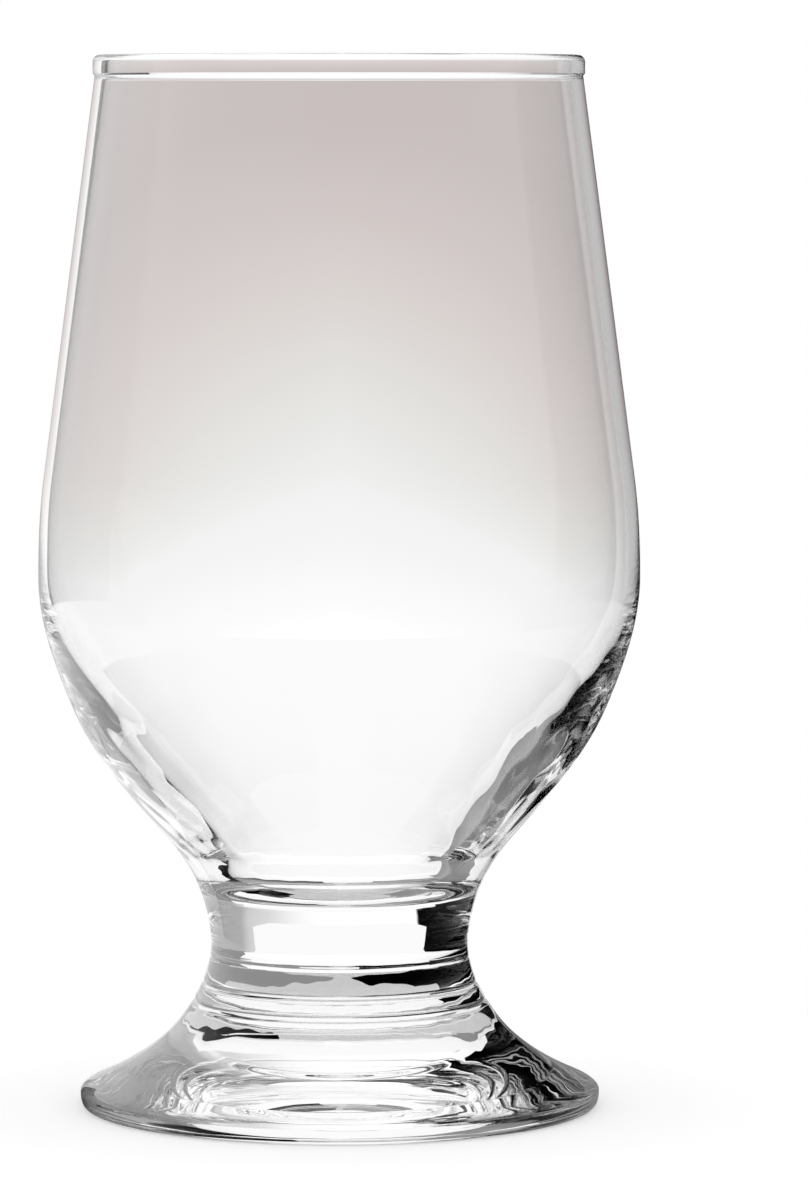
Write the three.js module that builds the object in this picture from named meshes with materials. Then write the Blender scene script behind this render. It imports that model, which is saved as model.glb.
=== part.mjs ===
// A stemmed beer glass in clear soda-lime glass: a bowl with a fire-polished rim, a short solid
// stem, a collar of two rings and a flared foot. The four are fused to each other face to face.
// Lengths are in millimetres. +Z is up, the glass stands on z = 0 and the Z axis is its own axis.

import * as THREE from 'three';

// The heights of the pieces, which stand on each other from the table up.
const FOOT_HEIGHT = 14.2;
const COLLAR_HEIGHT = 5.8;
const STEM_HEIGHT = 6.4;

// The heights of the bowl's bands, from the stem up.
const ROOT_HEIGHT = 10.0;
const FLANK_HEIGHT = 15.95;
const LOWER_BELLY_HEIGHT = 18.45;
const UPPER_BELLY_HEIGHT = 13.2;
const CONE_HEIGHT = 53.3;
const BEAD_HEIGHT = 2.7;

// The outside of the bowl: its rim and belly, and how much narrower it is above and below the belly.
const RIM_RADIUS = 32.3;
const BELLY_RADIUS = 40.0;
const SHOULDER_INSET = 0.74;
const FLANK_INSET = 5.0;
const FLANK_SLOPE = 0.435;
const ROOT_SLOPE = 0.885;
const SEAT_SLOPE = 0.236;

// The outside of the neck: its waist in the stem, and how much wider it is at each seam.
const WAIST_RADIUS = 17.17;
const WAIST_ABOVE_COLLAR = 1.7;
const ROOT_OVERHANG = 6.1;
const SEAT_OVERHANG = 0.66;
const COLLAR_TOP_OVERHANG = 0.17;
const COLLAR_TOP_SLOPE = -0.173;
const FOOT_TOP_OVERHANG = 2.43;
const FOOT_TOP_SLOPE = -0.6;

// The outside of the foot: its flare ends at a lip, which rolls over to the widest ring.
const FOOT_RADIUS = 34.7;
const LIP_WIDTH = 1.62;
const LIP_HEIGHT = 3.42;
const LIP_SLOPE = -2.31;
const EDGE_HEIGHT = 2.0;

// The underside: a flat contact ring, a shallow dish inside it and a round mark in the middle.
const CONTACT_RING_INSET = 1.25;
const CONTACT_RING_WIDTH = 7.4;
const DISH_HEIGHT = 1.7;
const MARK_RADIUS = 12.8;
const MARK_DEPTH = 0.3;
const MARK_STEP_WIDTH = 2.0;

// The glass wall, measured level, and how much thinner it gets per height going up. The flatness is
// how far out the inside bottom's curve is pulled level, as a share of the inside radius at the root.
const RIM_WALL = 1.4;
const SHOULDER_WALL = 1.2;
const BELLY_WALL = 1.35;
const BELLY_TAPER = 0.03;
const FLANK_WALL = 3.6;
const FLANK_TAPER = 0.22;
const ROOT_WALL = 6.1;
const ROOT_TAPER = 0.02;
const BOTTOM_THICKNESS = 2.4;
const BOTTOM_FLATNESS = 0.95;
const BEAD_PROUD = 0.25;

// The rings of the collar: the groove between them, and how far each seam's edges are drawn in.
const LOWER_RING_HEIGHT = 2.4;
const GROOVE_DEPTH = 0.3;
const GROOVE_REACH = 0.6;
const CREASE_DEPTH = 0.1;

// How finely the round forms are cut into facets.
const TURN_SEGMENTS = 72;
const BAND_STEPS = 5;
const FLARE_STEPS = 9;
const BEAD_STEPS = 8;
const EDGE_STEPS = 4;
const RING_STEPS = 3;
const UNDERSIDE_STEPS = 13;

// A station is one place on an outline: its radius, its height and its growth in radius per height.
const station = (radius, height, slope) => ({ radius, height, slope });

const footLip = station(FOOT_RADIUS - LIP_WIDTH, LIP_HEIGHT, LIP_SLOPE);
const footTop = station(WAIST_RADIUS + FOOT_TOP_OVERHANG, FOOT_HEIGHT, FOOT_TOP_SLOPE);
const collarTop = station(
  WAIST_RADIUS + COLLAR_TOP_OVERHANG,
  footTop.height + COLLAR_HEIGHT,
  COLLAR_TOP_SLOPE,
);
const waist = station(WAIST_RADIUS, collarTop.height + WAIST_ABOVE_COLLAR, 0);
const seat = station(WAIST_RADIUS + SEAT_OVERHANG, collarTop.height + STEM_HEIGHT, SEAT_SLOPE);
const root = station(WAIST_RADIUS + ROOT_OVERHANG, seat.height + ROOT_HEIGHT, ROOT_SLOPE);
const flank = station(BELLY_RADIUS - FLANK_INSET, root.height + FLANK_HEIGHT, FLANK_SLOPE);
const belly = station(BELLY_RADIUS, flank.height + LOWER_BELLY_HEIGHT, 0);
const coneSlope = (RIM_RADIUS - (BELLY_RADIUS - SHOULDER_INSET)) / CONE_HEIGHT;
const shoulder = station(
  BELLY_RADIUS - SHOULDER_INSET,
  belly.height + UPPER_BELLY_HEIGHT,
  coneSlope,
);
const rim = station(RIM_RADIUS, shoulder.height + CONE_HEIGHT, coneSlope);

const seamGroove = { height: footTop.height, depth: GROOVE_DEPTH };
const ringGroove = { height: footTop.height + LOWER_RING_HEIGHT, depth: GROOVE_DEPTH };
const crease = { height: collarTop.height, depth: CREASE_DEPTH };

// The radius of the smooth outline between two stations, which keeps both radii and both slopes.
function radiusAt(lower, upper, height) {
  const span = upper.height - lower.height;
  const t = (height - lower.height) / span;
  const blend = t * t * (3 - 2 * t);
  const leaving = lower.slope * t * (1 - t) ** 2;
  const arriving = upper.slope * t * t * (t - 1);
  return lower.radius + (upper.radius - lower.radius) * blend + span * (leaving + arriving);
}

// Numbers from low to high at even steps.
function evenSteps(low, high, steps) {
  return Array.from({ length: steps + 1 }, (_, i) => THREE.MathUtils.lerp(low, high, i / steps));
}

// How far a point is drawn in by a groove: the whole depth at the groove, fading out over its reach.
function drawnIn(height, groove) {
  const share = Math.min(Math.abs(height - groove.height) / GROOVE_REACH, 1);
  return groove.depth * (1 - share) ** 2;
}

// Points of the outline between two stations at the given heights, drawn in at the grooves.
function side(lower, upper, heights, grooves) {
  return heights.map((height) => {
    const smooth = radiusAt(lower, upper, height);
    const radius = grooves.reduce((left, groove) => left - drawnIn(height, groove), smooth);
    return new THREE.Vector2(radius, height);
  });
}

// Points of the smooth outline between two stations, at even steps of height.
function stretch(lower, upper, steps) {
  return side(lower, upper, evenSteps(lower.height, upper.height, steps), []);
}

// The heights that follow the rounding below a groove, up to the groove itself.
function heightsToGroove(groove) {
  return [groove.height - GROOVE_REACH, groove.height - GROOVE_REACH / 3, groove.height];
}

// The heights that follow the rounding above a groove, from the groove itself up.
function heightsFromGroove(groove) {
  return [groove.height, groove.height + GROOVE_REACH / 3, groove.height + GROOVE_REACH];
}

// Heights up the side of a ring that has a groove at each end.
function ringHeights(lowGroove, highGroove) {
  const low = lowGroove.height + GROOVE_REACH;
  const high = highGroove.height - GROOVE_REACH;
  const plain = evenSteps(low, high, RING_STEPS).slice(1, -1);
  return [...heightsFromGroove(lowGroove), ...plain, ...heightsToGroove(highGroove)];
}

// The inside station level with an outside one, behind a wall that thins by its taper going up.
function insideOf(outside, wall, taper) {
  return station(outside.radius - wall, outside.height, outside.slope + taper);
}

// One run of points from several, without the doubled points where they meet.
function joined(...runs) {
  const tooClose = 1e-6;
  const isNew = (point, i, all) => i === 0 || point.distanceTo(all[i - 1]) > tooClose;
  return runs.flat().filter(isNew);
}

function glass(colour) {
  return new THREE.MeshStandardMaterial({
    color: colour,
    roughness: 0.04,
    metalness: 0,
    transparent: true,
    opacity: 0.4,
  });
}

// A solid of revolution about Z. Its outline starts and ends on the axis, with the glass on its left.
function turned(name, outline, colour) {
  const geometry = new THREE.LatheGeometry(outline, TURN_SEGMENTS);
  geometry.rotateX(Math.PI / 2);
  const mesh = new THREE.Mesh(geometry, glass(colour));
  mesh.name = name;
  return mesh;
}

const onAxis = (height) => [new THREE.Vector2(0, height)];

// The rounded bead that the flame leaves on the rim, from the outer wall over the top to the inner.
function rimBead() {
  const width = RIM_WALL + 2 * BEAD_PROUD;
  const middle = RIM_RADIUS - RIM_WALL / 2;
  const sideFoot = rim.height + BEAD_PROUD;
  const roundCentre = rim.height + BEAD_HEIGHT - width / 2;
  const points = [new THREE.Vector2(middle + width / 2, sideFoot)];
  for (let i = 0; i <= BEAD_STEPS; i += 1) {
    const angle = (Math.PI * i) / BEAD_STEPS;
    const across = middle + (width / 2) * Math.cos(angle);
    points.push(new THREE.Vector2(across, roundCentre + (width / 2) * Math.sin(angle)));
  }
  points.push(new THREE.Vector2(middle - width / 2, sideFoot));
  return points;
}

// The rounded inside bottom, from the axis out to the inner wall at the root.
function insideBottom(innerRoot) {
  const bottom = seat.height + BOTTOM_THICKNESS;
  const rise = innerRoot.height - bottom;
  const reach = rise * 0.55;
  const curve = new THREE.CubicBezierCurve(
    new THREE.Vector2(0, bottom),
    new THREE.Vector2(innerRoot.radius * BOTTOM_FLATNESS, bottom),
    new THREE.Vector2(innerRoot.radius - innerRoot.slope * reach, innerRoot.height - reach),
    new THREE.Vector2(innerRoot.radius, innerRoot.height),
  );
  return curve.getPoints(BAND_STEPS + 1);
}

function bowl() {
  const innerRoot = insideOf(root, ROOT_WALL, ROOT_TAPER);
  const innerFlank = insideOf(flank, FLANK_WALL, FLANK_TAPER);
  const innerBelly = insideOf(belly, BELLY_WALL, BELLY_TAPER);
  const innerShoulder = insideOf(shoulder, SHOULDER_WALL, 0);
  const innerRim = insideOf(rim, RIM_WALL, 0);
  const inside = joined(
    insideBottom(innerRoot),
    stretch(innerRoot, innerFlank, BAND_STEPS),
    stretch(innerFlank, innerBelly, BAND_STEPS),
    stretch(innerBelly, innerShoulder, BAND_STEPS),
    stretch(innerShoulder, innerRim, BAND_STEPS),
  );
  const outline = joined(
    onAxis(seat.height),
    stretch(seat, root, BAND_STEPS),
    stretch(root, flank, BAND_STEPS),
    stretch(flank, belly, BAND_STEPS),
    stretch(belly, shoulder, BAND_STEPS),
    stretch(shoulder, rim, 1),
    rimBead(),
    inside.reverse(),
  );
  return turned('bowl', outline, 0xe4e9ea);
}

function stem() {
  const aboveCrease = [
    ...heightsFromGroove(crease),
    ...evenSteps(crease.height + GROOVE_REACH, waist.height, RING_STEPS),
  ];
  const outline = joined(
    onAxis(collarTop.height),
    side(collarTop, waist, aboveCrease, [crease]),
    stretch(waist, seat, BAND_STEPS),
    onAxis(seat.height),
  );
  return turned('stem', outline, 0xd6dcde);
}

function collar() {
  const heights = [...ringHeights(seamGroove, ringGroove), ...ringHeights(ringGroove, crease)];
  const outline = joined(
    onAxis(footTop.height),
    side(footTop, collarTop, heights, [seamGroove, ringGroove, crease]),
    onAxis(collarTop.height),
  );
  return turned('collar', outline, 0xc9d0d2);
}

// How high the underside is at a radius: a shallow dish, with a round mark pressed into its middle.
function hollowAt(radius, ringInnerRadius) {
  const dish = DISH_HEIGHT * (1 - (radius / ringInnerRadius) ** 2);
  const markInner = MARK_RADIUS - MARK_STEP_WIDTH / 2;
  const pastMark = THREE.MathUtils.smoothstep(radius, markInner, markInner + MARK_STEP_WIDTH);
  return dish + MARK_DEPTH * (1 - pastMark);
}

// The underside of the foot, from the axis out to the inner edge of the contact ring.
function underside(ringInnerRadius) {
  const radii = evenSteps(0, ringInnerRadius, UNDERSIDE_STEPS);
  return radii.map((radius) => new THREE.Vector2(radius, hollowAt(radius, ringInnerRadius)));
}

// The foot's rolled edge, from the contact ring out to the widest ring and up to the lip.
function footEdge(ringOuterRadius) {
  const under = new THREE.QuadraticBezierCurve(
    new THREE.Vector2(ringOuterRadius, 0),
    new THREE.Vector2(FOOT_RADIUS, 0),
    new THREE.Vector2(FOOT_RADIUS, EDGE_HEIGHT),
  );
  const third = (LIP_HEIGHT - EDGE_HEIGHT) / 3;
  const over = new THREE.CubicBezierCurve(
    new THREE.Vector2(FOOT_RADIUS, EDGE_HEIGHT),
    new THREE.Vector2(FOOT_RADIUS, EDGE_HEIGHT + third),
    new THREE.Vector2(footLip.radius - footLip.slope * third, footLip.height - third),
    new THREE.Vector2(footLip.radius, footLip.height),
  );
  return joined(under.getPoints(EDGE_STEPS), over.getPoints(EDGE_STEPS));
}

function foot() {
  const ringOuterRadius = FOOT_RADIUS - CONTACT_RING_INSET;
  const belowGroove = seamGroove.height - GROOVE_REACH;
  const flareHeights = [
    ...evenSteps(footLip.height, belowGroove, FLARE_STEPS),
    ...heightsToGroove(seamGroove),
  ];
  const outline = joined(
    underside(ringOuterRadius - CONTACT_RING_WIDTH),
    footEdge(ringOuterRadius),
    side(footLip, footTop, flareHeights, [seamGroove]),
    onAxis(footTop.height),
  );
  return turned('foot', outline, 0xdde2e3);
}

const beerGlass = new THREE.Group();
beerGlass.name = 'stemmed_beer_glass';
beerGlass.add(foot(), collar(), stem(), bowl());

export default beerGlass;
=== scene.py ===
"""The looks of a stemmed beer glass: four turned pieces of clear glass on a white studio floor."""
import math

import bpy
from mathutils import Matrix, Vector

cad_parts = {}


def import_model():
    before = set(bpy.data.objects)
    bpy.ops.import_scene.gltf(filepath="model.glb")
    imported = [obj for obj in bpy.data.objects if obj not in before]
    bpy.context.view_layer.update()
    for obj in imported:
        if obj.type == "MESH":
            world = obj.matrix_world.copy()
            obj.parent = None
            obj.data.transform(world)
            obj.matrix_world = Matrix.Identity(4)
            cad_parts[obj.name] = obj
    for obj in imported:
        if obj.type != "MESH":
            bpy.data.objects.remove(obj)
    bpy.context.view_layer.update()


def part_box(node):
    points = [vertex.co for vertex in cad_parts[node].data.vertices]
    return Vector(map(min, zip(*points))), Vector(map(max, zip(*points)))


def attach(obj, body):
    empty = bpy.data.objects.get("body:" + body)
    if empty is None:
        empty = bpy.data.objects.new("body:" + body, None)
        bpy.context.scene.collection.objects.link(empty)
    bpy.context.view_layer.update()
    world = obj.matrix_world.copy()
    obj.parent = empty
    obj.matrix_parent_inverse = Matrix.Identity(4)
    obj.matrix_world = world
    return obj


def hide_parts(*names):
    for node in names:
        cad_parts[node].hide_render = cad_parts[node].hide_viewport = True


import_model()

MM = 0.001


def grey(screen):
    """The linear value of a grey as a screen shows it, from 0 to 255, by the sRGB formula."""
    share = screen / 255
    return share / 12.92 if share <= 0.04045 else ((share + 0.055) / 1.055) ** 2.4


# The camera, fitted to the photograph's outline and framing.
CAMERA_DISTANCE = 841 * MM
CAMERA_HEIGHT = 133.4 * MM
CAMERA_PITCH = math.radians(4.468)
CAMERA_LENS = 190.06
SENSOR_LONG_SIDE = 36.0
AIM_RIGHT_OF_AXIS = 8.6 * MM
CLIP_NEAR = 0.01
CLIP_FAR = 100

# Radii of the outline's stations: overhangs are past the waist, insets are in from the belly.
RIM_RADIUS = 32.3 * MM
WAIST_RADIUS = 17.17 * MM
SHOULDER_INSET = 0.74 * MM
FLANK_INSET = 5.0 * MM
ROOT_OVERHANG = 6.1 * MM
SEAT_OVERHANG = 0.66 * MM
COLLAR_TOP_OVERHANG = 0.17 * MM
FOOT_TOP_OVERHANG = 2.43 * MM

# Slopes of the outline at its stations: growth in radius for each unit of height.
FLANK_SLOPE = 0.435
ROOT_SLOPE = 0.885
SEAT_SLOPE = 0.236
COLLAR_TOP_SLOPE = -0.173
FOOT_TOP_SLOPE = -0.6
LIP_SLOPE = -2.31

# Heights of the stations above the ones below them, and of the rim's bead.
WAIST_ABOVE_COLLAR = 1.7 * MM
ROOT_HEIGHT = 10.0 * MM
FLANK_HEIGHT = 15.95 * MM
LOWER_BELLY_HEIGHT = 18.45 * MM
UPPER_BELLY_HEIGHT = 13.2 * MM
BEAD_HEIGHT = 2.7 * MM

# The foot: its rolled edge, its contact ring, and the dish with a round mark inside the ring.
LIP_WIDTH = 1.62 * MM
LIP_HEIGHT = 3.42 * MM
EDGE_HEIGHT = 2.0 * MM
CONTACT_RING_INSET = 1.25 * MM
CONTACT_RING_WIDTH = 7.4 * MM
DISH_HEIGHT = 1.7 * MM
MARK_RADIUS = 12.8 * MM
MARK_DEPTH = 0.3 * MM
MARK_STEP_WIDTH = 2.0 * MM

# The bowl's wall, measured level, how much thinner it gets per height, and how far the bead stands out.
RIM_WALL = 1.4 * MM
SHOULDER_WALL = 1.2 * MM
BELLY_WALL = 1.35 * MM
FLANK_WALL = 3.6 * MM
ROOT_WALL = 6.1 * MM
BELLY_TAPER = 0.03
FLANK_TAPER = 0.22
ROOT_TAPER = 0.02
BEAD_PROUD = 0.25 * MM

# The inside bottom. Its curve is pulled level out to one share of its radius, and down along the wall
# by another share of its height.
BOTTOM_THICKNESS = 2.4 * MM
BOTTOM_FLATNESS = 0.95
BOTTOM_STEEPNESS = 0.55

# The rings of the collar: the groove between them, and how far each seam's edges are drawn in.
LOWER_RING_HEIGHT = 2.4 * MM
GROOVE_DEPTH = 0.3 * MM
GROOVE_REACH = 0.6 * MM
CREASE_DEPTH = 0.1 * MM

# How finely the outlines and the turned pieces are cut, and what counts as the same place.
TURN_SEGMENTS = 256
FINE_STEP = 0.8 * MM
NECK_STEP = 0.06 * MM
FOOT_STEP = 2 * NECK_STEP
BOTTOM_STEPS = 48
BEAD_STEPS = 32
DISH_STEPS = 64
UNDER_EDGE_STEPS = 16
OVER_EDGE_STEPS = 24
SHARP_ANGLE = math.radians(40)
SAME_PLACE = 1e-7

# Slight waves: how deep, where they are calmest and where they fade out.
WAVE_MOST = 0.04 * MM
WAVE_LEAST = 0.01 * MM
NECK_CALM = 14 * MM
WAVE_TOP = 78 * MM
WAVE_FADE = 30 * MM

# Each wave's turns round the glass, its phase and its pitch.
WAVES = (
    (5, 0.4, 4.1 * MM),
    (9, 2.1, -2.9 * MM),
    (14, 4.4, 3.3 * MM),
    (21, 1.3, -2.2 * MM),
    (33, 5.2, 1.7 * MM),
)

# Clear glass. What its face mirrors when seen squarely is tinted black: the photograph shows none.
GLASS_COLOUR = (0.997, 0.998, 0.997, 1)
REFRACTIVE_INDEX = 1.52
MIRROR_TINT = (0, 0, 0, 1)

# The place of the seam's material in a piece's list of materials, after the clear glass.
SEAM_SLOT = 1

# Tones of the studio.
BLACK = 0.0005
DARK_ROOM = (BLACK, BLACK, BLACK, 1)
WHITE = (1, 1, 1, 1)
BRIGHT = (1.1, 1.1, 1.1, 1)
MAUVE = (grey(200), grey(191), grey(190))

# The backlight by elevation, in degrees. Away from dead behind it is spread over more height, by so
# much for each degree of bearing and no more than the most.
BACKLIGHT = (
    (-90, 1.1),
    (-12, 1.1),
    (-9, grey(254)),
    (-6, grey(249)),
    (-3.6, grey(243)),
    (-2.2, (grey(228), grey(227), grey(224))),
    (-1.05, (grey(217), grey(208), grey(206))),
    (-0.1, MAUVE),
    (1.5, MAUVE),
    (3.5, 1.0),
    (90, 1.0),
)
SPREAD_PER_DEGREE = 0.135
SPREAD_MOST = 0.54

# How far the backlight gives way to bright light, by bearing: 0 is dead behind, and right is positive.
SIDE_LIGHT = (
    (-180, 1.0),
    (-40, 1.0),
    (-24, 0.7),
    (-13, 0.2),
    (0, 0.0),
    (15, 0.05),
    (26, 0.15),
    (60, 0.0),
    (100, 1.0),
    (180, 1.0),
)

# The grey card's tone by bearing.
CARD_TONES = (
    (-180, 1.0),
    (5, grey(236)),
    (33, grey(209)),
    (38, grey(176)),
    (77, grey(173)),
    (92, grey(130)),
    (118, grey(122)),
    (138, grey(148)),
    (180, grey(150)),
)

# The cards' lowest elevation by how far the bearing is from dead behind, and their highest.
CARD_LOWEST = (
    (0, -14),
    (78, -14),
    (82, 5),
    (106, 5),
    (118, -4),
    (168, -4),
    (174, 5),
    (180, 5),
)
CARD_TOP = 40.0

# A colour ramp holds nothing below 0, so elevations go through one raised by this many degrees.
RAMP_OFFSET = 20.0

# How soft the cards' lower and upper edges are, in degrees, and the bearings over which each side's
# card begins.
CARD_LOW_FADE = 1.0
CARD_TOP_FADE = 1.5
GREY_CARD_EDGE = (5.0, 25.0)
BLACK_CARD_EDGE = (-25.5, -27.0)

# The bearings over which the studio that the glass mirrors goes dark: on the right and in front.
DARK_RIGHT_EDGE = (-15.0, 5.0)
DARK_FRONT_EDGE = (95.0, 115.0)

# The floor disc.
FLOOR_RADIUS = 105 * MM
FLOOR_LEVEL = -0.05 * MM
FLOOR_STEPS = 96
FLOOR_COLOUR = (0.8, 0.8, 0.8, 1)
FLOOR_GLOW = 0.3

# The card that stands behind the glass.
WHITE_CARD_DISTANCE = 115 * MM
WHITE_CARD_HEIGHT = 40 * MM
WHITE_CARD_HALF_TURN = 25
WHITE_CARD_TONE = 0.97

# The sheets and cards at the sides: three rings on the floor and a low standing card, with the bearings
# they span. The two inner rings, under the foot and round its edge, are painted shade where the foot
# shades the floor; the outer ring and the low card are studio cards.
CARD_STEPS = 48
FLOOR_SHEET_LEVEL = -0.02 * MM
UNDER_FOOT_SHADE_INNER = 13 * MM
FOOT_SHADE_SPLIT = 26.5 * MM
FOOT_SHADE_OUTER = 46 * MM
FLOOR_CARD_FAR = 105 * MM
LOW_CARD_DISTANCE = 46 * MM
LOW_CARD_HEIGHT = 12 * MM
UNDER_FOOT_SHADE_START = 1
UNDER_FOOT_SHADE_END = 110
FLOOR_SHADE_AND_CARD_END = 165
LOW_CARD_END = 150

# Each side's name, direction and tone, used for its painted shade and its cards alike, and the bearings
# where its painted shade round the foot and its outer cards start.
SHADE_AND_CARD_SIDES = (
    ("black", -1, BLACK, 3, 60),
    ("grey", 1, grey(140), 6, 28),
)

# How often light may be bent or mirrored, and how many see-through discs it may pass.
GLASS_BOUNCES = 128
SEE_THROUGH_BOUNCES = 32


def top_of(node):
    """The highest corner of a CAD node's box."""
    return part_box(node)[1]


class Station:
    """One place on an outline: its radius, its height and its growth in radius per height."""

    def __init__(self, radius, height, slope):
        self.radius = radius
        self.height = height
        self.slope = slope


FOOT_RADIUS = top_of("foot").x
BELLY_RADIUS = top_of("bowl").x
RING_OUTER = FOOT_RADIUS - CONTACT_RING_INSET
RING_INNER = RING_OUTER - CONTACT_RING_WIDTH

# The outside, from the foot up.
foot_lip = Station(FOOT_RADIUS - LIP_WIDTH, LIP_HEIGHT, LIP_SLOPE)
foot_top = Station(WAIST_RADIUS + FOOT_TOP_OVERHANG, top_of("foot").z, FOOT_TOP_SLOPE)
collar_top = Station(WAIST_RADIUS + COLLAR_TOP_OVERHANG, top_of("collar").z, COLLAR_TOP_SLOPE)
waist = Station(WAIST_RADIUS, collar_top.height + WAIST_ABOVE_COLLAR, 0)
seat = Station(WAIST_RADIUS + SEAT_OVERHANG, top_of("stem").z, SEAT_SLOPE)
root = Station(WAIST_RADIUS + ROOT_OVERHANG, seat.height + ROOT_HEIGHT, ROOT_SLOPE)
flank = Station(BELLY_RADIUS - FLANK_INSET, root.height + FLANK_HEIGHT, FLANK_SLOPE)
belly = Station(BELLY_RADIUS, flank.height + LOWER_BELLY_HEIGHT, 0)
shoulder_height = belly.height + UPPER_BELLY_HEIGHT
rim_height = top_of("bowl").z - BEAD_HEIGHT
cone_slope = (RIM_RADIUS - (BELLY_RADIUS - SHOULDER_INSET)) / (rim_height - shoulder_height)
shoulder = Station(BELLY_RADIUS - SHOULDER_INSET, shoulder_height, cone_slope)
rim = Station(RIM_RADIUS, rim_height, cone_slope)
bowl_side = (root, flank, belly, shoulder, rim)

# The wall of the bowl, measured level: each station's radius is the wall's thickness there.
bowl_wall = (
    Station(ROOT_WALL, root.height, -ROOT_TAPER),
    Station(FLANK_WALL, flank.height, -FLANK_TAPER),
    Station(BELLY_WALL, belly.height, -BELLY_TAPER),
    Station(SHOULDER_WALL, shoulder.height, 0),
    Station(RIM_WALL, rim.height, 0),
)

# The height and depth of each groove in the neck, and the heights of the fused seams.
GROOVES = (
    (foot_top.height, GROOVE_DEPTH),
    (foot_top.height + LOWER_RING_HEIGHT, GROOVE_DEPTH),
    (collar_top.height, CREASE_DEPTH),
)
SEAMS = (foot_top.height, collar_top.height, seat.height)


def radius_at(lower, upper, height):
    """The radius at a height on the smooth curve that leaves and meets two stations at their slopes."""
    span = upper.height - lower.height
    t = (height - lower.height) / span
    blend = t * t * (3 - 2 * t)
    leaving = lower.slope * t * (1 - t) ** 2
    arriving = upper.slope * t * t * (t - 1)
    return lower.radius + (upper.radius - lower.radius) * blend + span * (leaving + arriving)


def radius_on(stations, height):
    """The radius at a height of the outline through stations, lowest first."""
    for lower, upper in zip(stations, stations[1:]):
        if height <= upper.height:
            break
    return radius_at(lower, upper, height)


def drawn_in(height):
    """How far the neck is drawn in by its grooves at a height."""
    total = 0
    for groove, depth in GROOVES:
        share = min(abs(height - groove) / GROOVE_REACH, 1)
        total += depth * (1 - share) ** 2
    return total


def stretch(lower, upper, step=FINE_STEP, grooved=False):
    """Points on the outline between two stations, no further apart in height than the step."""
    count = max(2, math.ceil(abs(upper.height - lower.height) / step))
    points = []
    for i in range(count + 1):
        height = lower.height + (upper.height - lower.height) * i / count
        radius = radius_at(lower, upper, height)
        if grooved:
            radius -= drawn_in(height)
        points.append((radius, height))
    return points


def bezier(start, start_pull, end_pull, end, steps):
    """Points on the cubic curve between two ends, each with the point that it is pulled towards."""
    corners = (start, start_pull, end_pull, end)
    points = []
    for i in range(steps + 1):
        t = i / steps
        weights = ((1 - t) ** 3, 3 * t * (1 - t) ** 2, 3 * t * t * (1 - t), t ** 3)
        radius = sum(weight * corner[0] for weight, corner in zip(weights, corners))
        height = sum(weight * corner[1] for weight, corner in zip(weights, corners))
        points.append((radius, height))
    return points


def joined(*runs):
    """Runs of points as one, without the points that two runs share."""
    points = []
    for run in runs:
        for point in run:
            if not points or math.dist(point, points[-1]) > SAME_PLACE:
                points.append(point)
    return points


def inside_wall():
    """The inner wall from the root to the rim: the outside less the wall."""
    count = math.ceil((rim.height - root.height) / FINE_STEP)
    points = []
    for i in range(count + 1):
        height = root.height + (rim.height - root.height) * i / count
        points.append((radius_on(bowl_side, height) - radius_on(bowl_wall, height), height))
    return points


def inside_bottom():
    """The rounded inside bottom, from the axis out to the inner wall at the root."""
    bottom = seat.height + BOTTOM_THICKNESS
    radius = root.radius - ROOT_WALL
    slope = root.slope + ROOT_TAPER
    reach = (root.height - bottom) * BOTTOM_STEEPNESS
    return bezier(
        (0, bottom),
        (radius * BOTTOM_FLATNESS, bottom),
        (radius - slope * reach, root.height - reach),
        (radius, root.height),
        BOTTOM_STEPS,
    )


def rim_bead():
    """The rounded bead on the rim, from the outside over the top to the inside."""
    width = RIM_WALL + 2 * BEAD_PROUD
    middle = RIM_RADIUS - RIM_WALL / 2
    side_foot = rim.height + BEAD_PROUD
    centre = rim.height + BEAD_HEIGHT - width / 2
    points = [(middle + width / 2, side_foot)]
    for i in range(BEAD_STEPS + 1):
        angle = math.pi * i / BEAD_STEPS
        points.append((middle + width / 2 * math.cos(angle), centre + width / 2 * math.sin(angle)))
    points.append((middle - width / 2, side_foot))
    return points


def bowl_outline():
    """The bowl: up its outside, over the bead, and down the inside to the axis."""
    stations = (seat, *bowl_side)
    outside = joined(*(stretch(low, high) for low, high in zip(stations, stations[1:])))
    inside = joined(inside_bottom(), inside_wall())
    return joined([(0, seat.height)], outside, rim_bead(), inside[::-1])


def stem_outline():
    """The solid stem, from the collar's top through the waist to the bowl's seat."""
    return joined(
        [(0, collar_top.height)],
        stretch(collar_top, waist, NECK_STEP, True),
        stretch(waist, seat),
        [(0, seat.height)],
    )


def collar_outline():
    """The solid collar with its two rings."""
    return joined(
        [(0, foot_top.height)],
        stretch(foot_top, collar_top, NECK_STEP, True),
        [(0, collar_top.height)],
    )


def underside():
    """The foot's underside, from the axis out to the contact ring: a dish with a round mark in it."""
    points = []
    for i in range(DISH_STEPS + 1):
        radius = RING_INNER * i / DISH_STEPS
        step = min(max((MARK_RADIUS + MARK_STEP_WIDTH / 2 - radius) / MARK_STEP_WIDTH, 0), 1)
        mark = MARK_DEPTH * step * step * (3 - 2 * step)
        points.append((radius, DISH_HEIGHT * (1 - (radius / RING_INNER) ** 2) + mark))
    return points


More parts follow.
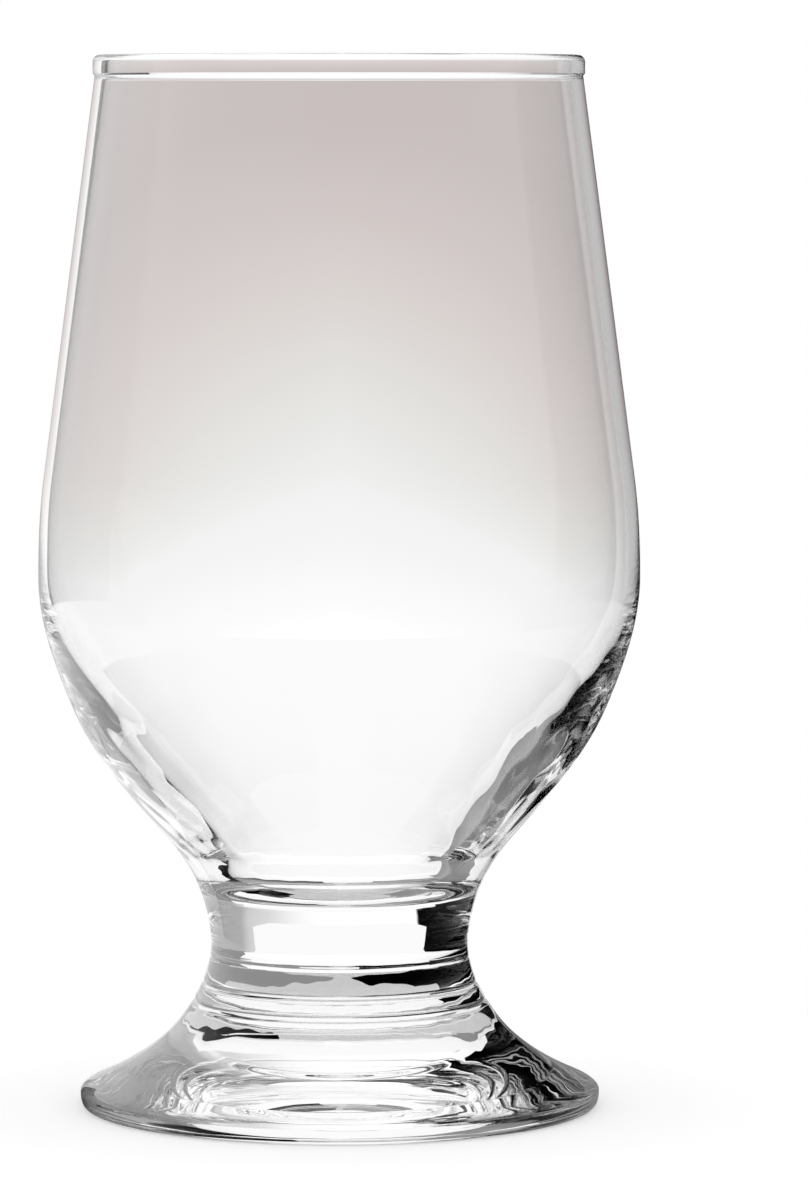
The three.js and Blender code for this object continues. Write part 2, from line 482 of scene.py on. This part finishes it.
def rolled_edge():
    """The foot's edge, from the contact ring out to the widest point and in again to the lip."""
    widest = (FOOT_RADIUS, EDGE_HEIGHT)
    under = bezier(
        (RING_OUTER, 0),
        (RING_OUTER + CONTACT_RING_INSET * 2 / 3, 0),
        (FOOT_RADIUS, EDGE_HEIGHT / 3),
        widest,
        UNDER_EDGE_STEPS,
    )
    third = (LIP_HEIGHT - EDGE_HEIGHT) / 3
    over = bezier(
        widest,
        (FOOT_RADIUS, EDGE_HEIGHT + third),
        (foot_lip.radius - foot_lip.slope * third, foot_lip.height - third),
        (foot_lip.radius, foot_lip.height),
        OVER_EDGE_STEPS,
    )
    return joined(under, over)


def foot_outline():
    """The foot: out along its underside, round its edge, and up its bell to the collar."""
    bell = stretch(foot_lip, foot_top, FOOT_STEP, True)
    return joined(underside(), rolled_edge(), bell, [(0, foot_top.height)])


def uneven(angle, height):
    """How far hot-worked glass strays from round: least in the neck, and not at all above the belly."""
    from_neck = min(abs(height - seat.height) / NECK_CALM, 1)
    below_top = min(max((WAVE_TOP - height) / WAVE_FADE, 0), 1)
    strength = (WAVE_LEAST + (WAVE_MOST - WAVE_LEAST) * from_neck) * below_top
    waves = [math.sin(turns * angle + phase + height / pitch) for turns, phase, pitch in WAVES]
    return strength * sum(waves) / len(waves)


def new_object(name, verts, faces):
    """A mesh object of its own, in the scene."""
    mesh = bpy.data.meshes.new(name)
    mesh.from_pydata(verts, [], faces)
    obj = bpy.data.objects.new(name, mesh)
    bpy.context.scene.collection.objects.link(obj)
    return obj


def turned(name, outline):
    """A solid of revolution about Z from an outline that starts and ends on the axis."""
    verts = []
    rings = []
    for radius, height in outline:
        if radius < SAME_PLACE:
            rings.append([len(verts)])
            verts.append((0, 0, height))
            continue
        ring = []
        for i in range(TURN_SEGMENTS):
            angle = 2 * math.pi * i / TURN_SEGMENTS
            ring.append(len(verts))
            around = radius + uneven(angle, height) * min(radius / WAIST_RADIUS, 1)
            verts.append((around * math.cos(angle), around * math.sin(angle), height))
        rings.append(ring)
    faces = []
    for low, high in zip(rings, rings[1:]):
        for i in range(TURN_SEGMENTS):
            j = (i + 1) % TURN_SEGMENTS
            if len(low) == 1:
                faces.append((low[0], high[j], high[i]))
            elif len(high) == 1:
                faces.append((low[i], low[j], high[0]))
            else:
                faces.append((low[i], low[j], high[j], high[i]))
    piece = new_object(name, verts, faces)
    piece.data.shade_smooth()
    piece.data.set_sharp_from_angle(angle=SHARP_ANGLE)
    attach(piece, "root")
    return piece


class Nodes:
    """Short ways to add and link shader nodes in one tree."""

    # A Mix node's colour sockets share their names with its number sockets, so they go by place.
    FIRST_COLOUR = 6
    SECOND_COLOUR = 7
    MIXED_COLOUR = 2

    def __init__(self, tree):
        self.tree = tree

    def add(self, kind, **settings):
        node = self.tree.nodes.new(kind)
        for name, value in settings.items():
            setattr(node, name, value)
        return node

    def feed(self, socket, value):
        if isinstance(value, bpy.types.NodeSocket):
            self.tree.links.new(value, socket)
        else:
            socket.default_value = value

    def math(self, operation, *values):
        node = self.add("ShaderNodeMath", operation=operation)
        for socket, value in zip(node.inputs, values):
            self.feed(socket, value)
        return node.outputs[0]

    def ease(self, value, start, end):
        """0 up to start, 1 from end on, and a smooth step between them."""
        node = self.add("ShaderNodeMapRange", interpolation_type="SMOOTHSTEP")
        for name, given in {"Value": value, "From Min": start, "From Max": end}.items():
            self.feed(node.inputs[name], given)
        return node.outputs["Result"]

    def mix(self, share, first, second):
        """The first colour at share 0, the second at share 1."""
        node = self.add("ShaderNodeMix", data_type="RGBA")
        self.feed(node.inputs["Factor"], share)
        self.feed(node.inputs[self.FIRST_COLOUR], first)
        self.feed(node.inputs[self.SECOND_COLOUR], second)
        return node.outputs[self.MIXED_COLOUR]

    def ramp(self, value, stops):
        """A colour ramp through (place, grey or colour) stops, whose places are in the value's units."""
        low = stops[0][0]
        span = stops[-1][0] - low
        share = self.math("DIVIDE", self.math("SUBTRACT", value, low), span)
        node = self.add("ShaderNodeValToRGB")
        self.feed(node.inputs["Fac"], share)
        elements = node.color_ramp.elements
        # A new stop's first place is of no account: the stops get their own places just below.
        while len(elements) < len(stops):
            elements.new(0.5)
        for element, (place, tone) in zip(elements, stops):
            element.position = (place - low) / span
            element.color = (*tone, 1) if isinstance(tone, tuple) else (tone, tone, tone, 1)
        return node.outputs["Color"]


def new_material(name):
    """A material with Blender's first nodes in it."""
    material = bpy.data.materials.new(name)
    material.use_nodes = True
    return material


def set_inputs(shader, settings):
    """Sets a shader's own sockets by name."""
    for name, value in settings.items():
        shader.inputs[name].default_value = value


def bare_material(name, kind, settings):
    """A material of one shader node and nothing else."""
    material = new_material(name)
    material.node_tree.nodes.clear()
    nodes = Nodes(material.node_tree)
    output = nodes.add("ShaderNodeOutputMaterial")
    shader = nodes.add(kind)
    set_inputs(shader, settings)
    nodes.feed(output.inputs["Surface"], shader.outputs[0])
    return material


def glass():
    """Clear glass, perfectly smooth."""
    material = new_material("clear_glass")
    set_inputs(material.node_tree.nodes["Principled BSDF"], {
        "Base Color": GLASS_COLOUR,
        "Roughness": 0,
        "IOR": REFRACTIVE_INDEX,
        "Transmission Weight": 1,
        "Specular Tint": MIRROR_TINT,
    })
    return material


def fused_seam():
    """Nothing to see, where two pieces are one glass."""
    return bare_material("fused_seam", "ShaderNodeBsdfTransparent", {})


def white_floor():
    """A matt white floor that glows a little, so that it shows white and keeps the glass's shadow."""
    material = new_material("floor")
    set_inputs(material.node_tree.nodes["Principled BSDF"], {
        "Base Color": FLOOR_COLOUR,
        "Roughness": 1,
        "Specular IOR Level": 0,
        "Emission Color": WHITE,
        "Emission Strength": FLOOR_GLOW,
    })
    return material


def dress(piece, clear, seam):
    """Clear glass all over, but nothing to see on the discs where two pieces are fused."""
    piece.data.materials.append(clear)
    piece.data.materials.append(seam)
    for face in piece.data.polygons:
        heights = [piece.data.vertices[v].co.z for v in face.vertices]
        for level in SEAMS:
            if all(abs(height - level) < SAME_PLACE for height in heights):
                face.material_index = SEAM_SLOT


def camera():
    """The camera, in front of the glass and a little above its middle, aimed down."""
    data = bpy.data.cameras.new("camera")
    data.lens = CAMERA_LENS
    data.sensor_width = SENSOR_LONG_SIDE
    data.sensor_fit = "AUTO"
    data.clip_start = CLIP_NEAR
    data.clip_end = CLIP_FAR
    obj = bpy.data.objects.new("camera", data)
    bpy.context.scene.collection.objects.link(obj)
    obj.location = (0, -CAMERA_DISTANCE, CAMERA_HEIGHT)
    yaw = math.atan2(AIM_RIGHT_OF_AXIS, CAMERA_DISTANCE)
    obj.rotation_euler = (math.pi / 2 - CAMERA_PITCH, 0, -yaw)
    bpy.context.scene.camera = obj


def build():
    """The four pieces of glass, each in its CAD node's place."""
    clear = glass()
    seam = fused_seam()
    outlines = {"bowl": bowl_outline, "stem": stem_outline, "collar": collar_outline, "foot": foot_outline}
    for node, outline in outlines.items():
        piece = turned(node + "_glass", outline())
        dress(piece, clear, seam)
        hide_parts(node)


def floor():
    """A round floor that the glass stands on."""
    verts = []
    for i in range(FLOOR_STEPS):
        angle = 2 * math.pi * i / FLOOR_STEPS
        verts.append((FLOOR_RADIUS * math.cos(angle), FLOOR_RADIUS * math.sin(angle), FLOOR_LEVEL))
    disc = new_object("floor", verts, [tuple(range(FLOOR_STEPS))])
    disc.data.materials.append(white_floor())


def card(name, tone, start, end, *edges):
    """A card, or a sheet of painted shade, round the axis between two bearings and two (radius, height)
    edges.

    Only light through or off the glass sees it.
    """
    verts = []
    faces = []
    for i in range(CARD_STEPS + 1):
        bearing = math.radians(start + (end - start) * i / CARD_STEPS)
        for radius, height in edges:
            verts.append((radius * math.sin(bearing), radius * math.cos(bearing), height))
        if i:
            faces.append((2 * i - 2, 2 * i - 1, 2 * i + 1, 2 * i))
    obj = new_object(name, verts, faces)
    obj.data.materials.append(bare_material(name, "ShaderNodeEmission", {"Color": (tone, tone, tone, 1)}))
    obj.visible_camera = False
    obj.visible_diffuse = False
    obj.visible_shadow = False


def cards():
    """A white card behind the glass; at each side painted shade on the floor under and round the foot,
    then a card on the floor further out and a low standing one.
    """
    behind = (WHITE_CARD_DISTANCE, 0)
    behind_top = (WHITE_CARD_DISTANCE, WHITE_CARD_HEIGHT)
    card("white_card", WHITE_CARD_TONE, -WHITE_CARD_HALF_TURN, WHITE_CARD_HALF_TURN, behind, behind_top)
    # Edges of the painted shade under the foot and round its edge, then of the cards beyond it.
    under = (UNDER_FOOT_SHADE_INNER, FLOOR_SHEET_LEVEL)
    inner = (FOOT_SHADE_SPLIT, FLOOR_SHEET_LEVEL)
    outer = (FOOT_SHADE_OUTER, FLOOR_SHEET_LEVEL)
    far = (FLOOR_CARD_FAR, FLOOR_SHEET_LEVEL)
    low = (LOW_CARD_DISTANCE, 0)
    low_top = (LOW_CARD_DISTANCE, LOW_CARD_HEIGHT)
    for name, side, tone, near, aside in SHADE_AND_CARD_SIDES:
        # Painted shade on the floor under the foot and round its edge, black on the left and grey on the
        # right, seen only by light through or off the glass; then the side's studio cards.
        card(name + "_painted_shade_under_foot", tone, side * UNDER_FOOT_SHADE_START, side * UNDER_FOOT_SHADE_END, under, inner)
        card(name + "_floor_card", tone, side * near, side * FLOOR_SHADE_AND_CARD_END, inner, outer)
        card(name + "_outer_floor_card", tone, side * aside, side * FLOOR_SHADE_AND_CARD_END, outer, far)
        card(name + "_low_card", tone, side * aside, side * LOW_CARD_END, low, low_top)


def backlight(nodes, bearing, aside, elevation):
    """The mauve-grey light behind, which fades to white downwards and gives way to bright light aside."""
    away = nodes.math("MINIMUM", nodes.math("MULTIPLY", aside, SPREAD_PER_DEGREE), SPREAD_MOST)
    apparent = nodes.math("MULTIPLY", elevation, nodes.math("SUBTRACT", 1.0, away))
    return nodes.mix(nodes.ramp(bearing, SIDE_LIGHT), nodes.ramp(apparent, BACKLIGHT), BRIGHT)


def card_heights(nodes, aside, elevation):
    """1 at the elevations that the cards cover, and 0 above and below them."""
    raised = [(place, height + RAMP_OFFSET) for place, height in CARD_LOWEST]
    lowest = nodes.math("SUBTRACT", nodes.ramp(aside, raised), RAMP_OFFSET)
    above_low = nodes.ease(elevation, lowest, nodes.math("ADD", lowest, CARD_LOW_FADE))
    below_top = nodes.ease(elevation, CARD_TOP + CARD_TOP_FADE, CARD_TOP)
    return nodes.math("MULTIPLY", above_low, below_top)


def world():
    """White for the camera and the floor. Through the glass shows a studio with a backlight, a grey
    card on the right and a black one on the left. The glass mirrors the same studio, dark in front
    and on the right.
    """
    studio = bpy.data.worlds.new("studio")
    bpy.context.scene.world = studio
    studio.use_nodes = True
    background = studio.node_tree.nodes["Background"]
    nodes = Nodes(studio.node_tree)
    direction = nodes.add("ShaderNodeSeparateXYZ")
    nodes.feed(direction.inputs[0], nodes.add("ShaderNodeTexCoord").outputs["Generated"])
    x, y, z = direction.outputs
    bearing = nodes.math("DEGREES", nodes.math("ARCTAN2", x, y))
    aside = nodes.math("ABSOLUTE", bearing)
    elevation = nodes.math("DEGREES", nodes.math("ARCSINE", z))

    carded = card_heights(nodes, aside, elevation)
    grey_here = nodes.math("MULTIPLY", nodes.ease(bearing, *GREY_CARD_EDGE), carded)
    black_here = nodes.math("MULTIPLY", nodes.ease(bearing, *BLACK_CARD_EDGE), carded)
    lit = backlight(nodes, bearing, aside, elevation)
    open_studio = nodes.mix(grey_here, lit, nodes.ramp(bearing, CARD_TONES))
    seen = nodes.mix(black_here, open_studio, DARK_ROOM)
    dark_in_front = nodes.mix(nodes.ease(aside, *DARK_FRONT_EDGE), open_studio, DARK_ROOM)
    mirrored = nodes.mix(nodes.ease(bearing, *DARK_RIGHT_EDGE), dark_in_front, DARK_ROOM)

    path = nodes.add("ShaderNodeLightPath")
    outer = nodes.mix(path.outputs["Is Glossy Ray"], WHITE, mirrored)
    nodes.feed(background.inputs["Color"], nodes.mix(path.outputs["Is Transmission Ray"], outer, seen))


camera()
build()
floor()
cards()
world()
cycles = bpy.context.scene.cycles
cycles.max_bounces = GLASS_BOUNCES
cycles.transmission_bounces = GLASS_BOUNCES
cycles.glossy_bounces = GLASS_BOUNCES
cycles.transparent_max_bounces = SEE_THROUGH_BOUNCES
bpy.context.scene.view_settings.view_transform = "Standard"
